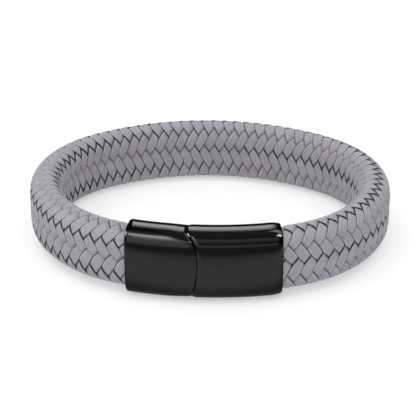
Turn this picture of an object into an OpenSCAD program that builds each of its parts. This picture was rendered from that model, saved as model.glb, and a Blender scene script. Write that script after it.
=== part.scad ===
// Braided leather bracelet: a flat, round-edged braid of soft laces over a core, closed in
// front by a polished two-part magnetic clasp. It stands on its edge as a bangle lies, with
// the clasp toward -Y and the wrist opening along Z.

/* [Loop] */
// Radius of the centre line across the front, through the clasp
front_r = 55; // [54.6:0.1:58]
// Half angle of the front stretch
front_a = 14.9; // [14.6:0.1:16]
// Radius of the centre line round the front corners
corner_r = 24.2; // [23.8:0.1:25]
// Angle of each front corner
corner_a = 66; // [64:0.2:68]
// Radius of the centre line round the sides
side_r = 20.8; // [20.4:0.1:21.8]
// Angle of each side
side_a = 64; // [61:0.2:65]

/* [Band] */
// Height of the band, which stands on its edge
band_h = 12; // [11:0.2:12.4]
// Thickness of the band
band_t = 6.2; // [6:0.1:6.6]
// Thickness of one lace
lace_t = 0.8; // [0.6:0.05:0.85]
// Width of one lace
lace_w = 1.64; // [1.5:0.02:1.64]
// Laces that wind each way round the band
laces = 8; // [8]
// Length of band that a lace needs to pass one rib of the braid
rib_run = 2.237; // [2.2:0.001:2.6]
// Place of the ribs along the band, in ribs
rib_start = -0.12; // [-0.5:0.02:0.5]
// How far the ribs of the inner face lie ahead of those of the outer face, along the band
rib_lag = 0.5; // [0:0.1:0.8]
// How far the ribs are drawn together on the outer face
rib_shift = 0.28; // [0:0.02:0.8]
// How far the ribs of both faces sit toward the top edge
rib_lift = 0.98; // [0:0.02:1]
// How far all the ribs are turned round the section
rib_turn = -0.46; // [-0.6:0.02:0.6]
// How far the ribs are drawn toward the outer top and inner bottom corners
rib_pinch = 0.2; // [0:0.02:0.3]
// Gap between a lace and one that crosses it
lace_gap = 0.15; // [0.12:0.01:0.2]

/* [Clasp] */
// Length of the closed clasp along the band
clasp_l = 27.4; // [27:0.1:27.8]
// Height of the clasp
clasp_h = 13.5; // [13.3:0.1:13.6]
// Thickness of the clasp
clasp_t = 7.5; // [7.4:0.1:8]
// Rounding along the clasp
clasp_r = 3.1; // [2:0.1:3.5]
// Rounding of the clasp's corners seen from the front
corner_round = 1.2; // [0.5:0.1:2]
// How far the clasp's end faces lean inward from front to back, in degrees
end_lean = 8; // [6:1:12]
// Radius of the curved seam between the halves
seam_r = 22; // [20:1:26]
// Sideways place of the seam's furthest point
seam_x = -1.2; // [-3:0.1:0]
// How far above the clasp's middle that point lies
seam_high = 0.8; // [0.6:0.1:1]
// How far above the middle the seam turns away more tightly
seam_turn = 4; // [4:0.1:4.6]
// Radius of the seam above that
seam_turn_r = 3.8; // [3.8:0.1:4.6]
// Gap between the closed halves
seam_gap = 0.12; // [0.08:0.01:0.2]
// Depth to which the band's ends are set into the clasp
socket_d = 5; // [4:0.5:6]

/* [Hidden] */
$fn = 96;
fit_gap = 0.12;

// The loop's half, as arcs from the middle of the clasp to the middle of the back.
// The last arc's radius brings it onto the line of symmetry.
ARC_R = 0;
ARC_A = 1;
turned = front_a + corner_a + side_a;
reach = front_r * sin(front_a)
  + corner_r * (sin(front_a + corner_a) - sin(front_a))
  + side_r * (sin(turned) - sin(front_a + corner_a));
arcs = [
  [front_r, front_a],
  [corner_r, corner_a],
  [side_r, side_a],
  [reach / sin(turned), 180 - turned]
];

function arc_len(i) = arcs[i][ARC_R] * arcs[i][ARC_A] * PI / 180;
function len_before(i) = i == 0 ? 0 : len_before(i - 1) + arc_len(i - 1);
function turn_before(i) = i == 0 ? 0 : turn_before(i - 1) + arcs[i - 1][ARC_A];
// Sideways and backward travel over an arc from heading a to heading b
function travel(r, a, b) = [r * (sin(b) - sin(a)), r * (cos(a) - cos(b))];
function place_before(i) = i == 0
  ? [0, 0]
  : place_before(i - 1)
    + travel(arcs[i - 1][ARC_R], turn_before(i - 1), turn_before(i));

// Length, heading and place at the start of each arc
LEN = 0;
TURN = 1;
PLACE = 2;
starts = [for (i = [0:3]) [len_before(i), turn_before(i), place_before(i)]];
half_len = len_before(4);
loop_d = place_before(4)[1];
// Moves the bounding box onto the origin
mid_y = ((clasp_t - band_t) / 2 - loop_d) / 2;

// Centre line at a distance from the clasp's middle toward +X: [x, y, heading]
function arc_at(s) = s < starts[1][LEN] ? 0 : s < starts[2][LEN] ? 1 : s < starts[3][LEN] ? 2 : 3;
function half_line(s, i) =
  let (
    r = arcs[i][ARC_R],
    a = starts[i][TURN],
    b = a + (s - starts[i][LEN]) / r * 180 / PI,
    p = starts[i][PLACE] + travel(r, a, b)
  )
  [p[0], p[1], b];
function mirrored(p) = [-p[0], p[1], 360 - p[2]];
function line_at(s) = s <= half_len
  ? half_line(s, arc_at(s))
  : mirrored(half_line(2 * half_len - s, arc_at(2 * half_len - s)));

// The clasp is taller than the band, which eases down to the ground behind it
function ease(u) = u * u * (3 - 2 * u);
function height_at(y) = clasp_h / 2 - (clasp_h - band_h) / 2 * ease(y / loop_d);

// A point of the band's section, out toward the outer face and up, at station s
function in_band(s, out, up) =
  let (p = line_at(s))
  [p[0] + out * sin(p[2]), p[1] - out * cos(p[2]) + mid_y, height_at(p[1]) + up];

// Ribs are counted round the section: 0 is the middle of the outer face, positive is up.
// The section is two flats joined by half rounds, measured at the height of an upper lace.
ribs = laces;
flat_h = (band_h - band_t) / 2;
upper_r = band_t / 2 - lace_t / 2;
round_len = 4 * flat_h + 2 * PI * upper_r;
rib_w = round_len / ribs;
function wrap(k) = k - ribs * floor(k / ribs + 0.5);
function section(k, depth) =
  let (
    kk = wrap(k),
    q = kk * 360 / ribs,
    c = kk * rib_w + rib_turn - rib_shift * sin(q) + rib_lift * cos(q) - rib_pinch * sin(2 * q),
    side = c < 0 ? -1 : 1,
    r = band_t / 2 - depth,
    a = (abs(c) - flat_h) / upper_r * 180 / PI
  )
  a <= 0 ? [r, c]
  : a <= 180 ? [r * cos(a), side * (flat_h + r * sin(a))]
  : [-r, side * (round_len / 2 - abs(c))];
function on_band(s, k, depth) =
  let (q = section(k, depth))
  in_band(s - rib_lag * cos(k * 360 / ribs), q[0], q[1]);

// The band runs from inside one socket round the back to inside the other. Stations along a
// lace are counted in ribs from the middle of the clasp.
end_room = 0.8 + rib_lag;
band_from = clasp_l / 2 - socket_d + end_room;
band_len = 2 * (half_len - band_from);
t_from = band_from / rib_run;
t_to = t_from + band_len / rib_run;

// A lace lies over two that cross it and then under two. Distances are counted in ribs
// from the middle of an upper stretch, and heights in lifts.
lift = (lace_t + lace_gap) / 2;
mid_depth = lift + lace_t / 2;
UPPER = 0.25;
function from_top(t) = abs((t + 1) - 2 * floor((t + 1) / 2) - 1);
function rise(t) = from_top(t) <= UPPER ? 1 : 1 - 4 * (from_top(t) - UPPER);
BENDS = [-UPPER, UPPER, 1];

// Half of a lace's width, in ribs, measured along the laces that cross it
slant = sqrt(rib_run * rib_run + rib_w * rib_w);
half_w = lace_w * slant / (4 * rib_run * rib_w);

// A lace's section lies along the laces that cross it. Its four points are the outer one, a
// side, the inner one and the other side.
function lace_ring(way, k, t, depth) =
  let (
    s = t * rib_run,
    kk = k + way * t,
    along = way * half_w * rib_run
  )
  [
    on_band(s, kk, depth - lace_t / 2),
    on_band(s - along, kk + half_w, depth),
    on_band(s, kk, depth + lace_t / 2),
    on_band(s + along, kk - half_w, depth)
  ];

// The ribs are widest round the lower edge. There the two outer faces of a lace fold along
// their other diagonal, so that they stay clear of its inner faces.
LOWER_EDGE = -2;
EDGE_REACH = 0.8;
function round_edge(k) = abs(wrap(k - LOWER_EDGE)) < EDGE_REACH;

// Closed skin over rings of points, each with n points. A lace twists one way or the other
// as it winds, and lean picks the diagonal that follows its twist. Where the list folded
// holds true for a stretch, the first and last faces take the other diagonal.
function skin(rings, n, lean = 1, folded = []) = concat(
  [for (i = [1:n - 2]) [0, i + 1, i]],
  [
    for (j = [0:rings - 2], i = [0:n - 1])
      let (
        a = j * n + i,
        b = j * n + (i + 1) % n,
        c = a + n,
        d = b + n,
        other = folded[j] == true && (i == 0 || i == n - 1)
      )
      each (lean > 0) != other ? [[a, d, c], [a, b, d]] : [[a, b, c], [b, d, c]]
  ],
  [for (i = [1:n - 2]) [(rings - 1) * n, (rings - 1) * n + i, (rings - 1) * n + i + 1]]
);

// One lace: way is 1 where it climbs the outer face toward +X, and -1 where it descends.
// It runs straight between its bends, and its cut ends lie part of the way between two bends.
module lace(way, index) {
  k = index + UPPER + way * rib_start;
  top = way * ((way > 0 ? 1.5 : 0.5) - k);
  first = top + 2 * floor((t_from - top) / 2);
  bends = [for (m = [first:2:t_to + 2], b = BENDS) m + b];
  before = [for (b = bends) if (b <= t_from) b];
  within = [for (b = bends) if (b > t_from && b < t_to) b];
  after = [for (b = bends) if (b >= t_to) b];
  function ring(t) = lace_ring(way, k, t, mid_depth - lift * rise(t - top));
  function cut(a, b, t) = ring(a) + (t - a) / (b - a) * (ring(b) - ring(a));
  last = len(within) - 1;
  stops = concat([t_from], within, [t_to]);
  folded = [for (j = [0:last + 1]) round_edge(k + way * (stops[j] + stops[j + 1]) / 2)];
  points = concat(
    cut(before[len(before) - 1], within[0], t_from),
    [for (t = within) each ring(t)],
    cut(within[last], after[0], t_to)
  );
  color(way > 0 ? [0.58, 0.57, 0.60] : [0.54, 0.53, 0.56])
    polyhedron(points, skin(last + 3, 4, way, folded), convexity = 12);
}

// The soft core that gives the band its thickness
core_gap = 0.1;
core_depth = mid_depth + 2 * lift + lace_t / 2 + core_gap;
core_out = band_t / 2 - core_depth;
core_up = band_h / 2 - core_depth;
core_steps = 52;
CORE_RING = [[1, 0.8], [0.4, 1], [-0.4, 1], [-1, 0.8], [-1, -0.8], [-0.4, -1], [0.4, -1], [1, -0.8]];
module core() {
  points = [
    for (i = [0:core_steps], q = CORE_RING)
      in_band(band_from + i * band_len / core_steps, q[0] * core_out, q[1] * core_up)
  ];
  color([0.35, 0.34, 0.36])
    polyhedron(points, skin(core_steps + 1, len(CORE_RING)), convexity = 8);
}

// Rectangle w by h with round corners, about its middle
module rounded(w, h, r) {
  square([w - 2 * r, h], center = true);
  square([w, h - 2 * r], center = true);
  for (x = [-1, 1], y = [-1, 1])
    translate([x * (w / 2 - r), y * (h / 2 - r)]) circle(r);
}

// Sweeps a section along the front arc between two distances from the clasp's middle
module along_front(from, to) {
  degree = 180 / PI / front_r;
  translate([0, mid_y + front_r, clasp_h / 2])
    rotate_extrude(angle = (to - from) * degree, start = 270 + from * degree)
      translate([front_r, 0]) children();
}

// Runs a section given in Y and Z along X
module along_x(from, to) {
  translate([from, mid_y, clasp_h / 2])
    rotate([90, 0, 90])
      linear_extrude(to - from) children();
}

// Where the outer face of the clasp ends: sideways, and from front to back
half_turn = clasp_l / 2 / front_r * 180 / PI;
clasp_end = (front_r + clasp_t / 2) * sin(half_turn);
clasp_end_y = mid_y + front_r - (front_r + clasp_t / 2) * cos(half_turn);
// Room for the inner side, which the leaning ends leave longer
END_ROOM = 3;

// Seen from above, the space between the end faces is wide in front and narrow behind
module between_ends() {
  deep = 2 * clasp_t;
  wide = clasp_end + deep * tan(end_lean);
  slim = clasp_end - deep * tan(end_lean);
  translate([0, clasp_end_y, -1])
    linear_extrude(clasp_h + 2)
      polygon([[-wide, -deep], [wide, -deep], [slim, deep], [-slim, deep]]);
}

module clasp_body() {
  intersection() {
    along_front(-clasp_l / 2 - END_ROOM, clasp_l / 2 + END_ROOM) rounded(clasp_t, clasp_h, clasp_r);
    translate([0, mid_y + clasp_t, clasp_h / 2])
      rotate([90, 0, 0])
        linear_extrude(2 * clasp_t) rounded(2 * clasp_end, clasp_h + 0.02, corner_round);
    between_ends();
  }
}

// Seen from the front, the seam is two arcs. They meet at the point seam_bend, where the
// seam leans by seam_lean from upright and the upper arc leans a little more.
seam_lean = asin((seam_turn - seam_high) / seam_r);
bend = 5;
seam_mid = [seam_x - seam_r, seam_high];
seam_bend = seam_mid + seam_r * [cos(seam_lean), sin(seam_lean)];
turn_mid = seam_bend - seam_turn_r * [cos(seam_lean + bend), sin(seam_lean + bend)];

// Places a shape drawn in the front view, counted from the clasp's middle
module front_to_back(depth) {
  translate([0, mid_y, clasp_h / 2])
    rotate([90, 0, 0]) linear_extrude(depth, center = true) children();
}

// Everything left of the seam, widened by gap
module left_of_seam(gap) {
  low = seam_bend[1] - 0.4;
  intersection() {
    front_to_back(3 * clasp_t) translate(seam_mid) circle(seam_r + gap);
    union() {
      front_to_back(2 * clasp_t) translate([-clasp_l, -clasp_h]) square([2 * clasp_l, clasp_h + low]);
      front_to_back(2 * clasp_t) translate([-clasp_l, 0]) square([clasp_l + turn_mid[0], clasp_h]);
      front_to_back(2 * clasp_t) translate(turn_mid) circle(seam_turn_r + gap);
    }
  }
}

module socket(from, to) {
  along_front(from, to)
    rounded(band_t + 2 * fit_gap, band_h + 2 * fit_gap, band_t / 2 + fit_gap - 0.01);
}

// The tongue of the left half locates in a slot of the right one, against the magnet
tongue_h = 7;
tongue_t = 3;
tongue_l = 3;
tongue_end = seam_x + tongue_l;
magnet_l = 2.2;
module clasp_left() {
  color([0.07, 0.07, 0.07]) {
    difference() {
      intersection() {
        clasp_body();
        left_of_seam(0);
      }
      socket(-clasp_l / 2 - END_ROOM, socket_d - clasp_l / 2);
    }
    along_x(seam_x - 3, tongue_end) rounded(tongue_t, tongue_h, 0.8);
  }
}

module clasp_right() {
  color([0.08, 0.08, 0.08])
    difference() {
      clasp_body();
      left_of_seam(seam_gap);
      along_x(seam_x - 3, tongue_end + fit_gap)
        rounded(tongue_t + 2 * fit_gap, tongue_h + 2 * fit_gap, 0.8);
      along_x(tongue_end, tongue_end + magnet_l + 3 * fit_gap)
        rounded(tongue_t - 0.2, tongue_h - 0.4, 0.6);
      socket(clasp_l / 2 - socket_d, clasp_l / 2 + END_ROOM);
    }
}

module magnet() {
  color([0.6, 0.6, 0.62])
    along_x(tongue_end + 2 * fit_gap, tongue_end + 2 * fit_gap + magnet_l)
      rounded(tongue_t - 0.2 - 2 * fit_gap, tongue_h - 0.4 - 2 * fit_gap, 0.5);
}

for (i = [1:laces]) {
  lace(1, i - 1);
  lace(-1, i - 1);
}
core();
clasp_left();
clasp_right();
magnet();
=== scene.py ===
# %% [markdown]
# # A braided leather bracelet
# Sixteen flat laces are braided over a soft core and closed by a polished black clasp.
# The imported CAD model gives every piece its place and its size. This script gives each one
# its real surface: rounded laces that dive under each other, leather grain, black gloss.
# The first step loads the imported model as a fixed frame.

# %% The frame
import math

import bmesh
import bpy
import numpy as np
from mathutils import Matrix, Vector


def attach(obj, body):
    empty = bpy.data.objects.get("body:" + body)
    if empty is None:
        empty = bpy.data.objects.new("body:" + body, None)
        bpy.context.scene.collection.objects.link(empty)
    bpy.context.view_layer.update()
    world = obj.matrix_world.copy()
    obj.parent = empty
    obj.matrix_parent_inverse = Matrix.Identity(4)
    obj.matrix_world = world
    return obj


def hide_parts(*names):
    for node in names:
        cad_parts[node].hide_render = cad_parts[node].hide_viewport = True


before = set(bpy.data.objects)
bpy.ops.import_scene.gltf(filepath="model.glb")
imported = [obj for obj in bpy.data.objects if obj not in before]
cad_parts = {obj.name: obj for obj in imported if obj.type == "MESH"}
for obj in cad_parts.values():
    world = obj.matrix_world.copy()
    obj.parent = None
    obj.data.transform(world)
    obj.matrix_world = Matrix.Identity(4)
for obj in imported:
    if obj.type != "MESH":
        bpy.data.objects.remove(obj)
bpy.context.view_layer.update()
MM = 0.001


# %% [markdown]
# ## The camera
# A product photograph of a small thing is taken from some way off with a long lens, so
# near and far parts keep nearly the same scale. The camera looks down on the bracelet by
# about 28 degrees and stands a little to the right. Its place is given as a target inside
# the loop, two angles and a distance, which is easier to read and to change than a matrix.

# %% The camera
IMAGE_PX = 416
SENSOR_MM = 36
# The view was fitted to the bracelet's outline in the photograph
focal_px = 1516.16507
camera_target = Vector((-0.343917, 0.325, 4.765910)) * MM
camera_azimuth = 2.46930715
camera_elevation = 27.81648995
camera_far = 298.827923 * MM
camera_near = 10 * MM


def around(azimuth, elevation, away):
    """A place round the bracelet, from degrees. Azimuth 0 is in front and 90 to the right."""
    a, e = math.radians(azimuth), math.radians(elevation)
    out = away * math.cos(e)
    return Vector((out * math.sin(a), -out * math.cos(a), away * math.sin(e)))


toward_camera = around(camera_azimuth, camera_elevation, 1)
camera_data = bpy.data.cameras.new("camera")
camera_data.sensor_width = SENSOR_MM
camera_data.lens = focal_px / IMAGE_PX * SENSOR_MM
camera_data.clip_start = camera_near
camera = bpy.data.objects.new("camera", camera_data)
camera.location = camera_target + toward_camera * camera_far
camera.rotation_euler = toward_camera.to_track_quat("Z", "Y").to_euler()
bpy.context.scene.collection.objects.link(camera)
bpy.context.scene.camera = camera
print("lens in mm:", round(camera_data.lens, 1))

# %% [markdown]
# ## The line of the loop
# Seen from above, the bracelet is an oval made of arcs that run smoothly into each other:
# a long shallow one through the clasp, a tight one round each front corner, one along
# each side and a wide one across the back. A maker would bend the band over such a form.
# Everything on the band is placed by its distance along this line, so one function that
# turns a distance into a place and a heading serves the laces and the clasp alike.

# %% The line of the loop
clasp_l = 27.4 * MM
clasp_h = 13.5 * MM
clasp_t = 7.5 * MM
band_h = 12 * MM
band_t = 6.2 * MM
front_r = 55 * MM
# Radius and degrees of each arc, from the middle of the clasp round to the side
ARCS = [(front_r, 14.9), (24.2 * MM, 66.0), (20.8 * MM, 64.0)]


def joined_arcs(table):
    """Rows of radius, start length, start heading and start place; the last arc closes the half."""
    rows, length, turn, place = [], 0.0, 0.0, np.zeros(2)
    for radius, degrees in table + [(None, 180 - sum(angle for _, angle in table))]:
        angle = math.radians(degrees)
        if radius is None:
            radius = place[0] / math.sin(turn)
        rows.append((radius, length, turn, place))
        end = turn + angle
        step = np.array([math.sin(end) - math.sin(turn), math.cos(turn) - math.cos(end)])
        length, turn, place = length + radius * angle, end, place + radius * step
    return rows, length, place[1]


arcs, half_len, loop_d = joined_arcs(ARCS)
mid_y = ((clasp_t - band_t) / 2 - loop_d) / 2


def smooth(share):
    """A share from 0 to 1 that starts and ends gently."""
    return share * share * (3 - 2 * share)


def centre_line(along):
    """Place and heading of the centre line at distances from the clasp's middle."""
    along = np.asarray(along, float)
    second_half = along > half_len
    near = np.where(second_half, 2 * half_len - along, along)
    x, y, turn = np.zeros_like(near), np.zeros_like(near), np.zeros_like(near)
    for n, (radius, start, angle, place) in enumerate(arcs):
        here = near >= start if n else np.ones_like(second_half)
        heading = angle + (near - start) / radius
        x = np.where(here, place[0] + radius * (np.sin(heading) - math.sin(angle)), x)
        y = np.where(here, place[1] + radius * (math.cos(angle) - np.cos(heading)), y)
        turn = np.where(here, heading, turn)
    return np.where(second_half, -x, x), y, np.where(second_half, 2 * math.pi - turn, turn)


def in_band(along, out, up):
    """Points of the band: out toward the outer face and up, at distances along the loop."""
    x, y, turn = centre_line(along)
    toward_back = smooth(np.clip(y / loop_d, 0, 1))
    middle = clasp_h / 2 - (clasp_h - band_h) / 2 * toward_back
    return np.stack([x + out * np.sin(turn), y - out * np.cos(turn) + mid_y, middle + up], -1)


print("loop in mm:", round(2 * half_len / MM, 1), "round,", round(loop_d / MM, 1), "deep")

# %% [markdown]
# ## The path of a lace
# In this braid eight laces wind one way round the band and eight the other way. Each lies
# over two of the others, then under two. Where the laces change over they form ribs, and
# the ribs are counted round the section, from 0 in the middle of the outer face. The real
# ribs aren't evenly spread, as the band was pressed flat after braiding, so a few waves
# shift them. The same numbers stand in the CAD source, so each dressed lace fills the
# place of its plain one. Out of the clasp's grip the soft braid swells a little, which
# shows along its top edge.

# %% The path of a lace
LACES = 8
lace_t = 0.8 * MM
lace_gap = 0.15 * MM
rib_run = 2.237 * MM
rib_lag = 0.5 * MM
rib_turn = -0.46 * MM
rib_shift = 0.28 * MM
rib_lift = 0.98 * MM
rib_pinch = 0.2 * MM
socket_d = 5 * MM
socket_room = 0.8 * MM
swell = 0.37 * MM
swell_from = 0.6 * MM
swell_run = 1.5 * MM

flat_h = (band_h - band_t) / 2
upper_r = band_t / 2 - lace_t / 2
round_len = 4 * flat_h + 2 * math.pi * upper_r
rib_w = round_len / LACES
lift = (lace_t + lace_gap) / 2
mid_depth = lift + lace_t / 2
band_from = clasp_l / 2 - socket_d + socket_room + rib_lag
ribs_from = band_from / rib_run
ribs_to = ribs_from + 2 * (half_len - band_from) / rib_run


def on_band(along, rib, depth):
    """Points at a rib number and a depth below the band's outer skin."""
    rib = rib - LACES * np.floor(rib / LACES + 0.5)
    q = 2 * math.pi * rib / LACES
    waves = rib_turn - rib_shift * np.sin(q) + rib_lift * np.cos(q) - rib_pinch * np.sin(2 * q)
    girth = rib * rib_w + waves
    side = np.where(girth < 0, -1.0, 1.0)
    radius = band_t / 2 - depth
    bend = (np.abs(girth) - flat_h) / upper_r
    on_front_flat, on_back_flat = bend <= 0, bend > math.pi
    out = np.where(on_front_flat, radius, np.where(on_back_flat, -radius, radius * np.cos(bend)))
    beyond = np.where(
        on_back_flat, round_len / 2 - np.abs(girth), flat_h + radius * np.sin(bend))
    up = np.where(on_front_flat, girth, side * beyond)
    along = along - rib_lag * np.cos(q)
    from_mouth = np.minimum(along, 2 * half_len - along) - clasp_l / 2 - swell_from
    free = smooth(np.clip(from_mouth / swell_run, 0, 1))
    up = up + swell * free * np.clip(up / (band_h / 2), 0, 1) ** 2
    return in_band(along, out, up)


print("ribs along the band:", round(ribs_to - ribs_from, 1), "rib width in mm:", round(rib_w / MM, 2))

# %% [markdown]
# ## From rings to a piece
# Blender can make a mesh straight from a list of points and a list of faces. The laces and
# the clasp are both strips of rings, like hoops with a skin stretched from each to the next.
# One helper lists the faces of such a strip. The other makes the object, gives it its
# material and says which CAD part it stands for and that it rides on the frame.

# %% From rings to a piece
ALL_SMOOTH = 180


def tube_faces(rings, n):
    """Quads between rings of n points, with a face over each end."""
    j, i = np.meshgrid(np.arange(rings - 1), np.arange(n), indexing="ij")
    a, b = j * n + i, j * n + (i + 1) % n
    sides = np.stack([a, a + n, b + n, b], -1).reshape(-1, 4)
    last = (rings - 1) * n
    return [list(f) for f in sides] + [list(range(n)), list(range(last + n - 1, last - 1, -1))]


def new_piece(name, points, faces, material, stands_for, smooth_below=ALL_SMOOTH):
    """A mesh object that rides on the frame and stands for a CAD node."""
    mesh = bpy.data.meshes.new(name)
    mesh.from_pydata([tuple(p) for p in points], [], [tuple(map(int, f)) for f in faces])
    mesh.validate()
    mesh.shade_smooth()
    if smooth_below < ALL_SMOOTH:
        mesh.set_sharp_from_angle(angle=math.radians(smooth_below))
    mesh.materials.append(material)
    piece = bpy.data.objects.new(name, mesh)
    bpy.context.scene.collection.objects.link(piece)
    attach(piece, "root")
    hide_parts(stands_for)
    return piece


print("two square rings make", len(tube_faces(2, 4)), "faces")

# %% [markdown]
# ## One lace
# A lace of soft leather is flat with rounded edges. It could be a curve with a bevel
# profile, but a curve turns its profile by rules of its own, and here the flat side has
# to face out at every point. So the lace is a grid: rings of points along its path, each
# ring a flattened round laid along the laces that cross it. It stays up over two laces,
# dips over a short stretch and stays down under two. Soft leather also gives a little
# where it is squeezed: the lace is thinner and narrower where it dips and wider on top,
# so the part that shows has the outline of a leaf. No two laces are cut quite alike, so
# slow random waves change the width, the place and the depth of each by a hair.

# %% One lace
RING_POINTS = 16
RINGS_PER_RIB = 12
squareness = 5.0
# Measured in ribs; first_top is for each of the two ways to wind
rib_start = -0.12
first_rib = 0.25
first_top = {1: 1.5, -1: 0.5}
half_w = 0.247
plateau, dip, squeeze_run = 0.35, 0.30, 0.13
# Shares of the width and of the thickness
leaf, squeeze = 0.075, 0.22
# The slow waves: how fast they run, where they start, and how far they wander
WAVES = 5
wave_pace, wave_start = (0.2, 1.6), (0, 6.28)
width_wave, place_wave, depth_wave = 0.010, 0.006, 0.012 * MM
rng = np.random.default_rng(7)


def flattened_round():
    """Places across and above the middle, from -1 to 1, for the points of one ring."""
    turn = (np.arange(RING_POINTS)[None, :] + 0.5) / RING_POINTS * 2 * math.pi
    return [np.sign(w) * np.abs(w) ** (2 / squareness) for w in (np.cos(turn), np.sin(turn))]


def height_of_lace(ribs):
    """1 where the lace lies on top, -1 where it lies below, and the ribs to its nearest top."""
    from_top = np.abs((ribs + 1) % 2 - 1)
    return 1 - 2 * smooth(np.clip((from_top - plateau) / dip, 0, 1)), from_top


def slow_waves(size):
    """A function of the place along the lace that wanders gently by about the given size."""
    parts = [(rng.uniform(*wave_pace), rng.uniform(*wave_start)) for _ in range(WAVES)]
    return lambda t: size / math.sqrt(WAVES) * sum(np.sin(f * t + p) for f, p in parts)


def lace_points(way, index):
    """Rings of points of one lace, with each point's place across it and how far it dives."""
    rib = index + first_rib + way * rib_start
    top = way * (first_top[way] - rib)
    rings = int((ribs_to - ribs_from) * RINGS_PER_RIB) + 1
    ribs = np.linspace(ribs_from, ribs_to, rings)[:, None]
    across, above = flattened_round()
    high, from_top = height_of_lace(ribs - top)
    squeezed = 1 - squeeze * np.exp(-((from_top - 0.5) / squeeze_run) ** 2)
    wide = half_w * (1 + leaf * np.cos(2 * math.pi * from_top)) * (1 + slow_waves(width_wave)(ribs))
    sideways = across * wide + slow_waves(place_wave)(ribs)
    depth = mid_depth - lift * high + slow_waves(depth_wave)(ribs) + depth_wave
    points = on_band(
        (ribs - way * sideways) * rib_run,
        rib + way * ribs + sideways,
        depth - above * lace_t / 2 * squeezed)
    everywhere = np.ones_like(sideways)
    return points, across * everywhere, (1 - high) / 2 * everywhere


trial = lace_points(1, 0)[0]
print("rings of one lace:", trial.shape[0], "points in all:", trial.shape[0] * trial.shape[1])

# %% [markdown]
# ## Short ways to build a material
# A material in Blender is a net of small nodes. The shader in the middle can be leather,
# steel or acrylic, and the others feed it a colour, a roughness or a height. Written out in
# full that takes many lines, so these helpers add a noise, a ramp, a mix or a bump and link
# it up. What is the same all over a surface is set on the shader itself.


# %% Short ways to build a material
def new_material(name):
    """A node material with only its shader and output, and two short ways to add nodes."""
    material = bpy.data.materials.new(name)
    material.use_nodes = True
    nodes, links = material.node_tree.nodes, material.node_tree.links

    def add(kind, **values):
        node = nodes.new(kind)
        for key, value in values.items():
            if key in node.inputs:
                node.inputs[key].default_value = value
            else:
                setattr(node, key, value)
        return node

    return material, nodes["Principled BSDF"], add, links.new


def object_place(add):
    """The point of the surface in the object's own space, in metres."""
    return add("ShaderNodeTexCoord").outputs["Object"]


def noise(add, link, scale, detail=3.0, rough=0.55):
    """A noise texture; scale is in waves for each metre."""
    node = add("ShaderNodeTexNoise", Scale=scale, Detail=detail, Roughness=rough)
    link(object_place(add), node.inputs["Vector"])
    return node.outputs["Fac"]


def ramp(add, link, value, stops):
    """A colour ramp: stops are (position, grey or colour)."""
    node = add("ShaderNodeValToRGB")
    link(value, node.inputs["Fac"])
    elements = node.color_ramp.elements
    for n, (position, colour) in enumerate(stops):
        element = elements[n] if n < 2 else elements.new(position)
        element.position = position
        element.color = (*(colour if isinstance(colour, tuple) else (colour,) * 3), 1)
    return node.outputs["Color"]


def maths(add, link, operation, first, second=0.0):
    """One step of arithmetic; each value is a number or comes from a node."""
    node = add("ShaderNodeMath", operation=operation)
    for n, value in enumerate((first, second)):
        if isinstance(value, (int, float)):
            node.inputs[n].default_value = value
        else:
            link(value, node.inputs[n])
    return node.outputs[0]


def mix(add, link, kind, share, first, second):
    """Two colours mixed; each value is a number, a colour or comes from a node."""
    node = add("ShaderNodeMix", data_type="RGBA", blend_type=kind)
    for socket, value in (("Factor", share), ("A", first), ("B", second)):
        if isinstance(value, (float, tuple)):
            node.inputs[socket].default_value = value
        else:
            link(value, node.inputs[socket])
    return node.outputs["Result"]


def bump(add, link, height, strength, distance, over=None):
    """A relief from a height; over is a finer relief that it adds to."""
    node = add("ShaderNodeBump", Strength=strength, Distance=distance)
    link(height, node.inputs["Height"])
    if over is not None:
        link(over, node.inputs["Normal"])
    return node.outputs["Normal"]


def set_all_over(shader, values):
    """Values that are the same all over the surface."""
    for socket, value in values.items():
        shader.inputs[socket].default_value = value


print("helpers:", [f.__name__ for f in (noise, ramp, maths, mix, bump, set_all_over)])

# %% [markdown]
# ## Leather
# The laces are matte leather, dyed a cool grey right through. Close up the grain is a net
# of fine pores, and the colour is a little cloudy. A painted highlight lightens each lace
# beside its edges, where light catches the round. The cut edges are dark, and are painted
# darker still to stand in for the shade in the creases. The parts that tuck under another
# lace get painted shade too. Together they draw the thin lines of the braid. Noise textures
# make the clouds and the grain. A UV map holds how far a point lies across its lace and how
# deep it dives, so these shades follow the lace round every bend, which a texture fixed in
# space couldn't do.

# %% Leather
CLOUDS, CREASES, PORES = 260, 1500, 4300
pore_shades = [(0.34, 0.70), (0.66, 1.06)]
crease_roughness = [(0.3, 0.62), (0.7, 0.74)]
# By distance from the lace's middle, which is 0.5 at its edges
# Painted highlight: lighter beside the edges, where light catches the round
painted_rim_highlight = [(0.25, 0.91), (0.41, 1.0)]
# The cut edges' own dark colour, painted darker to stand in for the shade in the creases
cut_edge_and_crease_shade = [(0.459, 0.0), (0.484, 1.0)]
# By depth, which is 1 under another lace
# Painted shade where a lace tucks under another
painted_tuck_shade = [(0.40, 0.0), (0.85, 0.8)]


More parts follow.
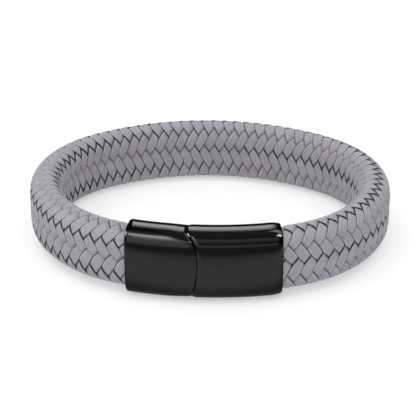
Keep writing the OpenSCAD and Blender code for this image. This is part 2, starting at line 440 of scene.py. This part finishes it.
def leather_material(name, light, dark, edge):
    """Cloudy leather. The edge colour paints dark cut edges, the shade in the creases and the shade
    where a lace tucks under.
    """
    material, shader, add, link = new_material(name)
    lace_uv = add("ShaderNodeSeparateXYZ")
    link(add("ShaderNodeUVMap", uv_map="lace").outputs["UV"], lace_uv.inputs[0])
    dive, across = lace_uv.outputs["X"], lace_uv.outputs["Y"]
    outward = maths(add, link, "ABSOLUTE", maths(add, link, "SUBTRACT", across, 0.5))

    pores = noise(add, link, scale=PORES, rough=0.65)
    creases = noise(add, link, scale=CREASES, detail=4.0, rough=0.6)
    clouds = noise(add, link, scale=CLOUDS, detail=4.0)
    colour = ramp(add, link, clouds, [(0.3, dark), (0.7, light)])
    # The second of these paints a highlight beside each lace's edges
    for value, shades in ((pores, pore_shades), (outward, painted_rim_highlight)):
        colour = mix(add, link, "MULTIPLY", 1.0, colour, ramp(add, link, value, shades))
    # Painted shade: the edge colour darkens the cut edges, the creases and where a lace tucks under
    for value, shares in ((dive, painted_tuck_shade), (outward, cut_edge_and_crease_shade)):
        colour = mix(add, link, "MIX", ramp(add, link, value, shares), colour, (*edge, 1))
    link(colour, shader.inputs["Base Color"])

    fine = bump(add, link, pores, strength=0.5, distance=0.06 * MM)
    relief = bump(add, link, creases, strength=0.35, distance=0.12 * MM, over=fine)
    link(relief, shader.inputs["Normal"])
    link(ramp(add, link, creases, crease_roughness), shader.inputs["Roughness"])
    set_all_over(shader, {
        "IOR": 1.45, "Specular IOR Level": 0.3, "Sheen Weight": 0.15, "Sheen Roughness": 0.5})
    return material


# The edge colour paints dark cut edges and the shade in the creases and under the laces
leather = leather_material(
    "grey_leather", light=(0.415, 0.397, 0.44), dark=(0.355, 0.339, 0.376), edge=(0.055, 0.053, 0.06))
print("leather nodes:", len(leather.node_tree.nodes))

# %% [markdown]
# ## The sixteen laces
# Now each lace is built from its rings and takes the place of its CAD node. The UV map is
# written straight from the numbers that made the points: how deep the lace dives there,
# and how far across it the point lies.


# %% The sixteen laces
def lace(way, index):
    """One lace of leather. way is 1 for a lace that climbs toward the right, -1 for one that falls."""
    name = f"lace_{'up' if way > 0 else 'down'}_{index + 1}"
    points, across, dive = lace_points(way, index)
    faces = tube_faces(*points.shape[:2])
    if way < 0:
        faces = [face[::-1] for face in faces]
    piece = new_piece("braid_" + name, points.reshape(-1, 3), faces, leather, name)
    uv = piece.data.uv_layers.new(name="lace")
    corner = np.zeros(len(piece.data.loops), int)
    piece.data.loops.foreach_get("vertex_index", corner)
    flat_uv = np.stack([dive.reshape(-1), 0.5 + across.reshape(-1) / 2], -1)[corner]
    uv.data.foreach_set("uv", flat_uv.reshape(-1).astype(np.float32))
    return piece


laces = [lace(way, index) for way in (1, -1) for index in range(LACES)]
print("laces:", len(laces), "faces of one:", len(laces[0].data.polygons))

# %% [markdown]
# ## The clasp
# The clasp is two blocks of polished steel with a black coat, bent to the line of the
# band. Polished edges are never sharp: the coat and the buffing wheel leave a small round
# on each, and that round is what catches the light. A bevel modifier could add it, but
# one strip of rings that runs from the socket's floor, out of its mouth, round the edge,
# along the body and round the seam edge keeps every face clean, and lets each edge have
# a rounding of its own. It starts with the outline of a ring: a rectangle with corners that
# are part of a squared-off ellipse, which can be drawn in where the block gets smaller.

# %% The clasp's outline
PER_CORNER, PER_FLAT = 36, 14
OUTLINE = 4 * PER_CORNER + 2 * PER_FLAT
CIRCLE = 2.0
body_corner_h = 4.6 * MM
body_power = 2.92
# A fall starts where the outline leans up by this share, and is full a little further on
fall_from, fall_over = 0.6, 0.35


def outline(width, height, corner_w, corner_h, power=CIRCLE, inset=0.0, fall=0.0):
    """Rectangle with four like corners. An inset draws it in all round, a fall from above and below."""
    t = np.linspace(0, math.pi / 2, PER_CORNER)
    c, d = np.abs(np.cos(t)), np.abs(np.sin(t))
    lean_out, lean_up = c ** (2 - 2 / power) / corner_w, d ** (2 - 2 / power) / corner_h
    size = np.hypot(lean_out, lean_up)
    inset = inset + fall * np.clip((lean_up / size - fall_from) / fall_over, 0, 1)
    out = width / 2 - corner_w * (1 - c ** (2 / power)) - inset * lean_out / size
    up = height / 2 - corner_h * (1 - d ** (2 / power)) - inset * lean_up / size
    flat = np.linspace(-1, 1, PER_FLAT + 2)[1:-1] * up[0]
    return (
        np.concatenate([out, -out[::-1], -out[0] + 0 * flat, -out, out[::-1], out[0] + 0 * flat]),
        np.concatenate([up, up[::-1], -flat, -up, -up[::-1], flat]))


def rounded(width, height, radius, inset=0.0):
    """Rectangle with round corners."""
    return outline(width, height, radius, radius, CIRCLE, inset)


def body_outline(inset=0.0, fall=0.0):
    """The clasp's own section, whose rounding starts gently, as polishing leaves it."""
    return outline(clasp_t, clasp_h, clasp_t / 2, body_corner_h, body_power, inset, fall)


print("points of one ring:", OUTLINE, "half width in mm:", round(body_outline()[0].max() / MM, 2))

# %% [markdown]
# ### The ends and the seam
# Both halves follow the front arc, so a point on the clasp is given by its distance along
# that arc. The end faces lean in a little toward the back. The seam isn't a plain cut: seen
# from the front it is a long arc that turns away more tightly near the top. One function
# for each says how far along the arc the face lies at every point of an outline, and the
# rings of the body are spread between the two.

# %% The ends and the seam
corner_round = 1.2 * MM
end_lean = math.radians(8)
seam_r = 22 * MM
seam_x = -1.2 * MM
seam_high = 0.8 * MM
seam_turn = 4 * MM
seam_turn_r = 3.8 * MM
seam_turn_by = math.radians(5)
seam_turn_from = seam_turn - 0.4 * MM
seam_gap = 0.12 * MM


def on_front(along, out, up):
    """Points on the clasp, which follows the front arc right round."""
    a, r = along / front_r, front_r + out
    return np.stack([r * np.sin(a), mid_y + front_r - r * np.cos(a), clasp_h / 2 + up], -1)


def station_of(x, out):
    """Distance along the front arc at which a point that far out has the given x."""
    return front_r * np.arcsin(x / (front_r + out))


half_turn = clasp_l / 2 / front_r
clasp_end = (front_r + clasp_t / 2) * math.sin(half_turn)


def end_station(out, up):
    """The clasp's end face. It leans in toward the back, and its corners are round from the front."""
    into = np.clip(np.abs(up) - (clasp_h / 2 - corner_round), 0, corner_round)
    x = clasp_end - corner_round + np.sqrt(corner_round ** 2 - into ** 2)
    lean = (front_r + clasp_t / 2) * math.sin(half_turn - end_lean) / (front_r + out)
    return np.minimum(front_r * (end_lean + np.arcsin(lean)), station_of(x, out))


def toward(angle):
    """A step of length 1 in the front view."""
    return np.array([math.cos(angle), math.sin(angle)])


seam_lean = math.asin((seam_turn - seam_high) / seam_r)
seam_mid = np.array([seam_x - seam_r, seam_high])
turn_start = seam_mid + seam_r * toward(seam_lean)
turn_mid = turn_start - seam_turn_r * toward(seam_lean + seam_turn_by)


def seam_station(out, up, gap):
    """The curved seam, which runs front to back: a long arc, then a tighter one at the top."""
    def arc(middle, radius):
        return middle[0] + np.sqrt(np.maximum((radius + gap) ** 2 - (up - middle[1]) ** 2, 0))
    long_arc, tight_arc = arc(seam_mid, seam_r), arc(turn_mid, seam_turn_r)
    return station_of(np.where(up > seam_turn_from, np.minimum(long_arc, tight_arc), long_arc), out)


print("clasp end in mm:", round(clasp_end / MM, 2))

# %% [markdown]
# ### Rings of a clasp half
# Each ring is the outline at one step of the way. Round an edge the outline shrinks as it
# nears the face, in steps that are given as a list: how far the ring lies from the face and
# how far its outline is drawn in. A quarter of an ellipse gives the steps of a plain round,
# longer than deep where the wheel went along the edge. Toward the seam the body can also
# fall away softly. Last come the rings across the seam face, into a slot or out on a tongue.

# %% Rings of a clasp half
EDGE_STEPS = 11
BODY_STEPS = 36
FACE_STEPS = (0.33, 0.67, 1.0)
fit_gap = 0.12 * MM
lip = 0.05 * MM
mouth_flat = 0.01 * MM


def quarter(length, depth):
    """Steps round an edge: (distance from the face, inset of the outline)."""
    angles = np.linspace(0, math.pi / 2, EDGE_STEPS)
    return [(length * (1 - math.cos(a)), depth * (1 - math.sin(a))) for a in angles]


def clasp_rings(side, end_edge, seam_edge, fall, gap):
    """Rings from the socket's floor to the seam face, and the outline of the last one.

    side is -1 for the left half. fall has the length and the depth of the fall to the seam."""
    def fallen(distance):
        return fall[1] * max(0, 1 - distance / fall[0]) ** 3

    end_run, seam_run = end_edge[-1][0], seam_edge[-1][0]
    mouth = (band_t + 2 * fit_gap, band_h + 2 * fit_gap, band_t / 2 + fit_gap - mouth_flat)
    out, up = rounded(*mouth)
    rings = [on_front(side * (clasp_l / 2 - socket_d) + 0 * out, out, up)]
    rings.append(on_front(side * (end_station(out, up) - lip), out, up))
    out, up = rounded(*mouth, inset=-lip)
    rings.append(on_front(side * end_station(out, up), out, up))
    for step, inset in end_edge:
        out, up = body_outline(inset)
        rings.append(on_front(side * (end_station(out, up) - step), out, up))
    out, up = body_outline()
    start = side * (end_station(out, up) - end_run)
    end = seam_station(out, up, gap) + side * seam_run
    length = np.abs(end - start).mean()
    for share in np.linspace(0, 1, BODY_STEPS)[1:-1]:
        out, up = body_outline(0, fallen(length * (1 - share) + seam_run))
        rings.append(on_front(start + (end - start) * share, out, up))
    for step, inset in reversed(seam_edge):
        out, up = body_outline(inset, fallen(step))
        rings.append(on_front(seam_station(out, up, gap) + side * step, out, up))
    return rings, (out, up)


def seam_face(edge, opening, gap):
    """Rings across the seam face, from its edge to the outline of a slot or a tongue."""
    rings = []
    for share in FACE_STEPS:
        out, up = (a + (b - a) * share for a, b in zip(edge, opening))
        rings.append(on_front(seam_station(out, up, gap), out, up))
    return rings


def straight(x, out, up):
    """A ring of the tongue or the slot, which run straight along X."""
    return np.stack([x + 0 * out, mid_y - out, clasp_h / 2 + up], -1)


print("steps round an edge of 1 mm:", [round(step, 2) for step, _ in quarter(1, 1)])

# %% [markdown]
# ### From rings to a clasp half
# A strip of rings is open at both ends, so a point in the middle of each end closes it with
# a fan of triangles. Near the tips of the curved seam some points fall on each other. They
# are merged, and then all faces are turned outward, or the gloss would break up there.

# %% From rings to a clasp half
MERGE = 1e-7
SHARP_ABOVE = 40


def closed_strip(rings):
    """Points and faces of a strip of rings with a point over each end."""
    points = np.concatenate(rings + [rings[0].mean(0)[None], rings[-1].mean(0)[None]])
    faces = tube_faces(len(rings), OUTLINE)[:-2]
    first, last = len(points) - 2, len(points) - 1
    start = (len(rings) - 1) * OUTLINE
    for i in range(OUTLINE):
        j = (i + 1) % OUTLINE
        faces.append([first, i, j])
        faces.append([last, start + j, start + i])
    return points, faces


def facing_out(piece):
    """Drops points that lie on each other and turns the faces outward."""
    bm = bmesh.new()
    bm.from_mesh(piece.data)
    bmesh.ops.remove_doubles(bm, verts=bm.verts, dist=MERGE)
    bmesh.ops.recalc_face_normals(bm, faces=bm.faces)
    bm.to_mesh(piece.data)
    bm.free()
    return piece


def clasp_half(name, rings, material):
    """One half of the clasp, which takes the place of its CAD node."""
    points, faces = closed_strip(rings)
    return facing_out(new_piece(
        name + "_polished", points, faces, material, name, SHARP_ABOVE))


print("points of a strip of two rings:", len(closed_strip([np.zeros((OUTLINE, 3))] * 2)[0]))

# %% [markdown]
# ## Black polish
# The coat on the steel is black and nearly as smooth as glass, so almost all that is seen
# of it is what it mirrors: glowing cards, small lamps and the dark between them. They are
# set up further down. A faint noise in roughness and a very shallow one in height keep the
# coat from looking computed.


# %% Black polish
def polish_material(name):
    """A black coat with a faint haze and ripple."""
    material, shader, add, link = new_material(name)
    haze = noise(add, link, scale=900, detail=4.0, rough=0.6)
    shade = noise(add, link, scale=120, detail=2.0)
    ripple = noise(add, link, scale=380, detail=2.0)
    link(ramp(add, link, shade, [(0.3, 0.0022), (0.7, 0.0035)]), shader.inputs["Base Color"])
    link(ramp(add, link, haze, [(0.3, 0.07), (0.7, 0.10)]), shader.inputs["Roughness"])
    link(bump(add, link, ripple, strength=0.05, distance=0.02 * MM), shader.inputs["Normal"])
    set_all_over(shader, {"IOR": 1.4})
    return material


polish = polish_material("black_polish")
print("polish nodes:", len(polish.node_tree.nodes))

# %% [markdown]
# ### The left half
# The left half bulges at the seam, and its tongue goes into the other half. Its end edge is
# rounded tightly, so the bright line along its front runs right to the end. Toward the seam
# the top and the bottom fall away, and the lights mirrored in them curve off with them.

# %% The left half
tongue_h, tongue_t, tongue_l = 7 * MM, 3 * MM, 3 * MM
tongue_end = seam_x + tongue_l
tongue_corner = 0.8 * MM
tongue_taper = 0.15 * MM

rings, edge = clasp_rings(
    side=-1, end_edge=quarter(0.5 * MM, 0.42 * MM), seam_edge=quarter(0.25 * MM, 0.22 * MM),
    fall=(5.5 * MM, 0.28 * MM), gap=0)
tongue = rounded(tongue_t, tongue_h, tongue_corner)
rings += seam_face(edge, tongue, 0)
rings.append(straight(tongue_end - tongue_taper, *tongue))
rings.append(straight(tongue_end, *rounded(tongue_t, tongue_h, tongue_corner, tongue_taper)))
clasp_left = clasp_half("clasp_left", rings, polish)
print("left half: rings", len(rings), "faces", len(clasp_left.data.polygons))

# %% [markdown]
# ### The right half
# The right half is hollow at the seam. A slot takes the tongue, and a pocket behind it holds
# the magnet. Its end edge is rounded over a longer stretch. The seam edge has a tight round
# at the very edge and a long soft one behind it, which carries the comma of light that runs
# down the seam. That is no quarter of an ellipse, so its steps are written out.

# %% The right half
magnet_l = 2.2 * MM
pocket_t, pocket_h, pocket_corner = tongue_t - 0.2 * MM, tongue_h - 0.4 * MM, 0.6 * MM
# In mm: the distance from the seam face and how far the outline is drawn in
SEAM_STEPS = (
    (0, 0.27), (0.015, 0.235), (0.06, 0.2014), (0.1, 0.187), (0.2, 0.1524), (0.3, 0.12),
    (0.4, 0.0905), (0.5, 0.065), (0.65, 0.0318), (0.8, 0.0104), (0.9, 0.0026), (1, 0))

rings, edge = clasp_rings(
    side=1, end_edge=quarter(2.2 * MM, 0.45 * MM),
    seam_edge=[(step * MM, inset * MM) for step, inset in SEAM_STEPS],
    fall=(1 * MM, 0), gap=seam_gap)
slot = rounded(tongue_t + 2 * fit_gap, tongue_h + 2 * fit_gap, tongue_corner)
pocket = rounded(pocket_t, pocket_h, pocket_corner)
rings += seam_face(edge, slot, seam_gap)
rings.append(straight(tongue_end + fit_gap, *slot))
rings.append(straight(tongue_end + fit_gap, *pocket))
rings.append(straight(tongue_end + magnet_l + 3 * fit_gap, *pocket))
clasp_right = clasp_half("clasp_right", rings, polish)
print("right half: rings", len(rings), "faces", len(clasp_right.data.polygons))

# %% [markdown]
# ## The hidden pieces
# The soft core inside the braid and the magnet inside the clasp keep their CAD shapes,
# because nothing of them shows. They still get a finish of their own: dark felted cord,
# and the pale nickel that magnets are plated with.


# %% The hidden pieces
def felt_material(name):
    """Dark felted fibres."""
    material, shader, add, link = new_material(name)
    fibres = noise(add, link, scale=2500, detail=5.0, rough=0.7)
    shades = [(0.3, (0.10, 0.097, 0.11)), (0.7, (0.19, 0.184, 0.20))]
    link(ramp(add, link, fibres, shades), shader.inputs["Base Color"])
    link(bump(add, link, fibres, strength=0.6, distance=0.1 * MM), shader.inputs["Normal"])
    link(ramp(add, link, fibres, [(0.3, 0.85), (0.7, 0.95)]), shader.inputs["Roughness"])
    return material


def nickel_material(name):
    """Pale metal with a fine grain."""
    material, shader, add, link = new_material(name)
    grain = noise(add, link, scale=1800)
    shades = [(0.3, (0.55, 0.54, 0.52)), (0.7, (0.66, 0.65, 0.63))]
    link(ramp(add, link, grain, shades), shader.inputs["Base Color"])
    link(ramp(add, link, grain, [(0.3, 0.22), (0.7, 0.34)]), shader.inputs["Roughness"])
    set_all_over(shader, {"Metallic": 1.0})
    return material


hidden = {"core": felt_material("felted_core"), "magnet": nickel_material("nickel_plate")}
for node_name, material in hidden.items():
    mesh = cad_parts[node_name].data
    mesh.materials.clear()
    mesh.materials.append(material)
print("hidden pieces dressed:", list(hidden))

# %% [markdown]
# ## The table
# The photograph is a studio shot on white with hardly any shadow. Studios get that from a
# table of milky acrylic with lamps under it, so the sheet here reflects part of the light
# and gives the rest by itself, which keeps the shadow under the band pale. It is left out
# of the clasp's mirror image: on a real shoot the white ends a hand's breadth away and the
# dark room begins, and polished black shows that room. It lies a hair below the bracelet,
# so that the two never share a surface.

# %% The table
TABLE_REACH = 3
table_drop = 0.02 * MM


def milky_material(name, lit_from_below):
    """White acrylic that also glows."""
    material, shader, add, link = new_material(name)
    cloud = noise(add, link, scale=3, detail=2.0)
    link(ramp(add, link, cloud, [(0.3, 0.59), (0.7, 0.61)]), shader.inputs["Base Color"])
    set_all_over(shader, {
        "Emission Color": (1, 1, 1, 1), "Emission Strength": lit_from_below,
        "Roughness": 0.9, "Specular IOR Level": 0.1})
    return material


def sheet(name, corner, far_corner, height, material, steps=8):
    """A flat sheet between two corners, given in X and Y. It is part of the stage."""
    x, y = np.meshgrid(
        np.linspace(corner[0], far_corner[0], steps + 1),
        np.linspace(corner[1], far_corner[1], steps + 1), indexing="ij")
    points = np.stack([x, y, 0 * x + height], -1).reshape(-1, 3)
    row = steps + 1
    faces = [
        (i * row + j, (i + 1) * row + j, (i + 1) * row + j + 1, i * row + j + 1)
        for i in range(steps) for j in range(steps)]
    mesh = bpy.data.meshes.new(name)
    mesh.from_pydata([tuple(p) for p in points], [], faces)
    mesh.materials.append(material)
    piece = bpy.data.objects.new(name, mesh)
    bpy.context.scene.collection.objects.link(piece)
    return piece


table = sheet(
    "white_table", (-TABLE_REACH, -TABLE_REACH), (TABLE_REACH, TABLE_REACH), -table_drop,
    milky_material("milky_acrylic", lit_from_below=0.42))
table.visible_glossy = False
print("table laid:", len(table.data.polygons), "faces")

# %% [markdown]
# ## Light for the leather
# Matte leather and a white table want broad soft light. The white room gives most of it,
# from all round. A large box over the front, a long narrow one right above and two weak
# ones, at the left and behind, shape the band a little. Each box is an area light: its glow
# is how bright its face looks, and the power follows from the glow and the area. The boxes
# are kept out of the clasp's mirror image, which gets cards of its own.

# %% Light for the leather
BOX_FAR = 0.8
# Name, azimuth and elevation in degrees, width and height in metres, glow
BOXES = (
    ("front_box", -10, 58, 1.5, 0.8, 0.69),
    ("top_box", 0, 90, 1.2, 0.10, 4.4),
    ("back_box", 180, 28, 1.4, 0.28, 1.05),
    ("left_box", -95, 45, 0.9, 0.9, 0.30))


def light_panel(name, azimuth, elevation, width, height, glow, away, mirrored):
    """An area light that faces the bracelet. It is either seen in gloss or lights what is matte."""
    data = bpy.data.lights.new(name, "AREA")
    data.shape = "RECTANGLE"
    data.size, data.size_y = width, height
    data.energy = glow * math.pi * width * height
    light = bpy.data.objects.new(name, data)
    light.location = around(azimuth, elevation, away)
    light.rotation_euler = light.location.to_track_quat("Z", "Y").to_euler()
    light.visible_camera = False
    light.visible_glossy = mirrored
    light.visible_diffuse = not mirrored
    bpy.context.scene.collection.objects.link(light)
    return light


boxes = [light_panel(*row, away=BOX_FAR, mirrored=False) for row in BOXES]
print("soft boxes:", len(boxes), "power in W:", [round(box.data.energy, 2) for box in boxes])

# %% [markdown]
# ## The glow of a card
# Polished black is lit by what it mirrors, so its light is drawn, not poured. A photographer
# hangs cards round the table and lights each with a gradient. Area lights glow evenly, so
# each card here is a sheet with a glowing material instead. Its glow follows the angle above
# the table, or on the table the depth, and fades out toward the left and right edge. The
# sheets are clear apart from their glow, so where two overlap their light adds up.


# %% The glow of a card
def smooth_share(add, link, value, start, end):
    """0 at start, 1 at end, with a soft change between."""
    node = add("ShaderNodeMapRange", interpolation_type="SMOOTHSTEP")
    link(value, node.inputs["Value"])
    node.inputs["From Min"].default_value = start
    node.inputs["From Max"].default_value = end
    return node.outputs["Result"]


def glowing_material(name, measure, stops, peak, fade):
    """Glows by a measure, "angle" or "depth"; stops are (measure, share of the peak).

    fade gives four places along X: dark, full, full and dark again."""
    material, shader, add, link = new_material(name)
    material.node_tree.nodes.remove(shader)
    split = add("ShaderNodeSeparateXYZ")
    link(object_place(add), split.inputs[0])
    x, y, z = (split.outputs[axis] for axis in "XYZ")
    value = maths(add, link, "MULTIPLY", y, -1.0)
    if measure == "angle":
        value = maths(add, link, "ARCTAN2", z, value)
    start, end = stops[0][0], stops[-1][0]
    share = maths(add, link, "DIVIDE", maths(add, link, "SUBTRACT", value, start), end - start)
    stops = [((place - start) / (end - start), strength) for place, strength in stops]
    fade_in = smooth_share(add, link, x, fade[0], fade[1])
    fade_out = smooth_share(add, link, x, fade[3], fade[2])
    faded = maths(add, link, "MULTIPLY", fade_in, fade_out)
    shine, both = add("ShaderNodeEmission"), add("ShaderNodeAddShader")
    link(ramp(add, link, share, stops), shine.inputs["Color"])
    link(maths(add, link, "MULTIPLY", faded, peak), shine.inputs["Strength"])
    link(shine.outputs[0], both.inputs[0])
    link(add("ShaderNodeBsdfTransparent").outputs[0], both.inputs[1])
    link(both.outputs[0], material.node_tree.nodes["Material Output"].inputs["Surface"])
    return material


def only_in_gloss(piece):
    """Hides a glowing sheet from the camera and from everything matte."""
    piece.visible_camera = False
    piece.visible_diffuse = False
    piece.visible_shadow = False
    return piece


print("a card's glow takes", smooth(0.25), "of its peak a quarter of the way into its fade")

# %% [markdown]
# ## Glowing cards for the clasp
# Each card is part of a tube round the bracelet's long axis, so the clasp sees it at one
# distance all the way up. Two dim ones, before the left half and before the right, give the
# broad soft bands. A bright one at the left draws the line along the upper front edge, and
# one behind lights the top. All of them show only in the gloss: they are hidden from the
# camera and light nothing that is matte.

# %% Glowing cards for the clasp
CARD_FAR = 0.90
LINE_FAR = 0.92
CARD_STEPS = 24


def curved_card(name, far, peak, fade, stops):
    """Part of a tube round the X axis. stops are (degrees above the table, share of the peak)."""
    stops = [(math.radians(degrees), share) for degrees, share in stops]
    start, end = stops[0][0], stops[-1][0]
    glow = glowing_material(name + "_glow", "angle", stops, peak, fade)
    card = sheet(name, (fade[0], 0), (fade[3], 1), 0, glow, CARD_STEPS)
    # The sheet starts flat, with Y from 0 to 1, and is bent to its angles here
    for vertex in card.data.vertices:
        angle = start + (end - start) * vertex.co.y
        vertex.co.y, vertex.co.z = -far * math.cos(angle), far * math.sin(angle)
    return only_in_gloss(card)


cards = [
    curved_card(
        "left_front_card", CARD_FAR, peak=1.6, fade=(-0.75, -0.70, -0.112, -0.104), stops=[
            (1, 0.45), (7, 0.64), (20, 0.86), (33, 0.95), (42, 1.0), (50, 0.8), (67, 0.55),
            (87, 0.40), (100, 0.10), (106, 0.05)]),
    curved_card(
        "left_line_card", LINE_FAR, peak=9.0, fade=(-0.45, -0.40, -0.20, -0.122), stops=[
            (36, 0.0), (42, 0.10), (50, 0.33), (60, 0.80), (65, 1.0), (70, 0.9), (77, 0.2),
            (84, 0.0)]),
    curved_card(
        "right_front_card", CARD_FAR, peak=1.0, fade=(-0.112, -0.104, 0.70, 0.75), stops=[
            (1, 0.20), (7, 0.5), (13, 0.94), (18, 0.6), (24, 0.10), (29, 0.10), (34, 0.35),
            (41, 0.55), (56, 0.9), (62, 0.6), (68, 0.2), (76, 0.15), (96, 0.18), (116, 0.18),
            (133, 0.15)]),
    curved_card(
        "back_card", CARD_FAR, peak=4.0, fade=(-0.17, -0.13, 0.02, 0.16), stops=[
            (134, 0.0), (140, 0.20), (144, 0.42), (147, 0.62), (150, 1.0), (153, 0.85),
            (156, 0.15), (159, 0.0)])]
print("curved cards:", [card.name for card in cards])

# %% [markdown]
# ### The card on the table and three small lamps
# The clasp's upright face leans toward the table, so a card in front of it gives the face
# its soft grey, brightest a finger's breadth away. Three small lamps, at either side and
# behind, are mirrored only where an edge turns outward: at the seam and at the ends.

# %% The card on the table and three small lamps
LAMP_FAR = 0.9
# Name, azimuth and elevation in degrees, width and height in metres, glow
LAMPS = (
    ("left_lamp", -95, 31, 0.55, 0.44, 17.0),
    ("right_lamp", 92, 54, 0.36, 0.36, 16.0),
    ("back_right_lamp", 150, 48, 0.40, 0.26, 3.0))
# Millimetres in front of the clasp's face, and share of the peak
NEAR_STOPS = (
    (0, 0.3), (4, 0.85), (7, 1.0), (13, 0.95), (18, 0.62), (22, 0.40), (30, 0.2), (45, 0.16),
    (100, 0.25), (300, 0.4))
near_fade = (-0.50, -0.45, 0.45, 0.50)
front_face = clasp_t / 2 - mid_y
under_clasp = 4 * MM
card_height = 0.01 * MM

near_stops = [(front_face + depth * MM, share) for depth, share in NEAR_STOPS]
near_card = only_in_gloss(sheet(
    "card_on_table", (near_fade[0], under_clasp - near_stops[0][0]),
    (near_fade[3], -near_stops[-1][0]), card_height,
    glowing_material("card_on_table_glow", "depth", near_stops, peak=1.0, fade=near_fade)))
lamps = [light_panel(*row, away=LAMP_FAR, mirrored=True) for row in LAMPS]
print("lamps:", len(lamps), "card on the table in mm:", round(near_card.dimensions.y / MM), "deep")

# %% [markdown]
# ## The room
# The room is white and lights the leather and the table from all round. The clasp doesn't
# mirror it, for its cards stand in front of black cloth. The picture is shown without a film
# look, because product photographs keep white paper at pure white.

# %% The room
ROOM_GLOW = 0.64
world = bpy.data.worlds.new("studio_room")
world.use_nodes = True
background = world.node_tree.nodes["Background"]
background.inputs["Color"].default_value = (1.0, 1.0, 1.0, 1)
background.inputs["Strength"].default_value = ROOM_GLOW
world.cycles_visibility.glossy = False
bpy.context.scene.world = world
bpy.context.scene.view_settings.view_transform = "Standard"
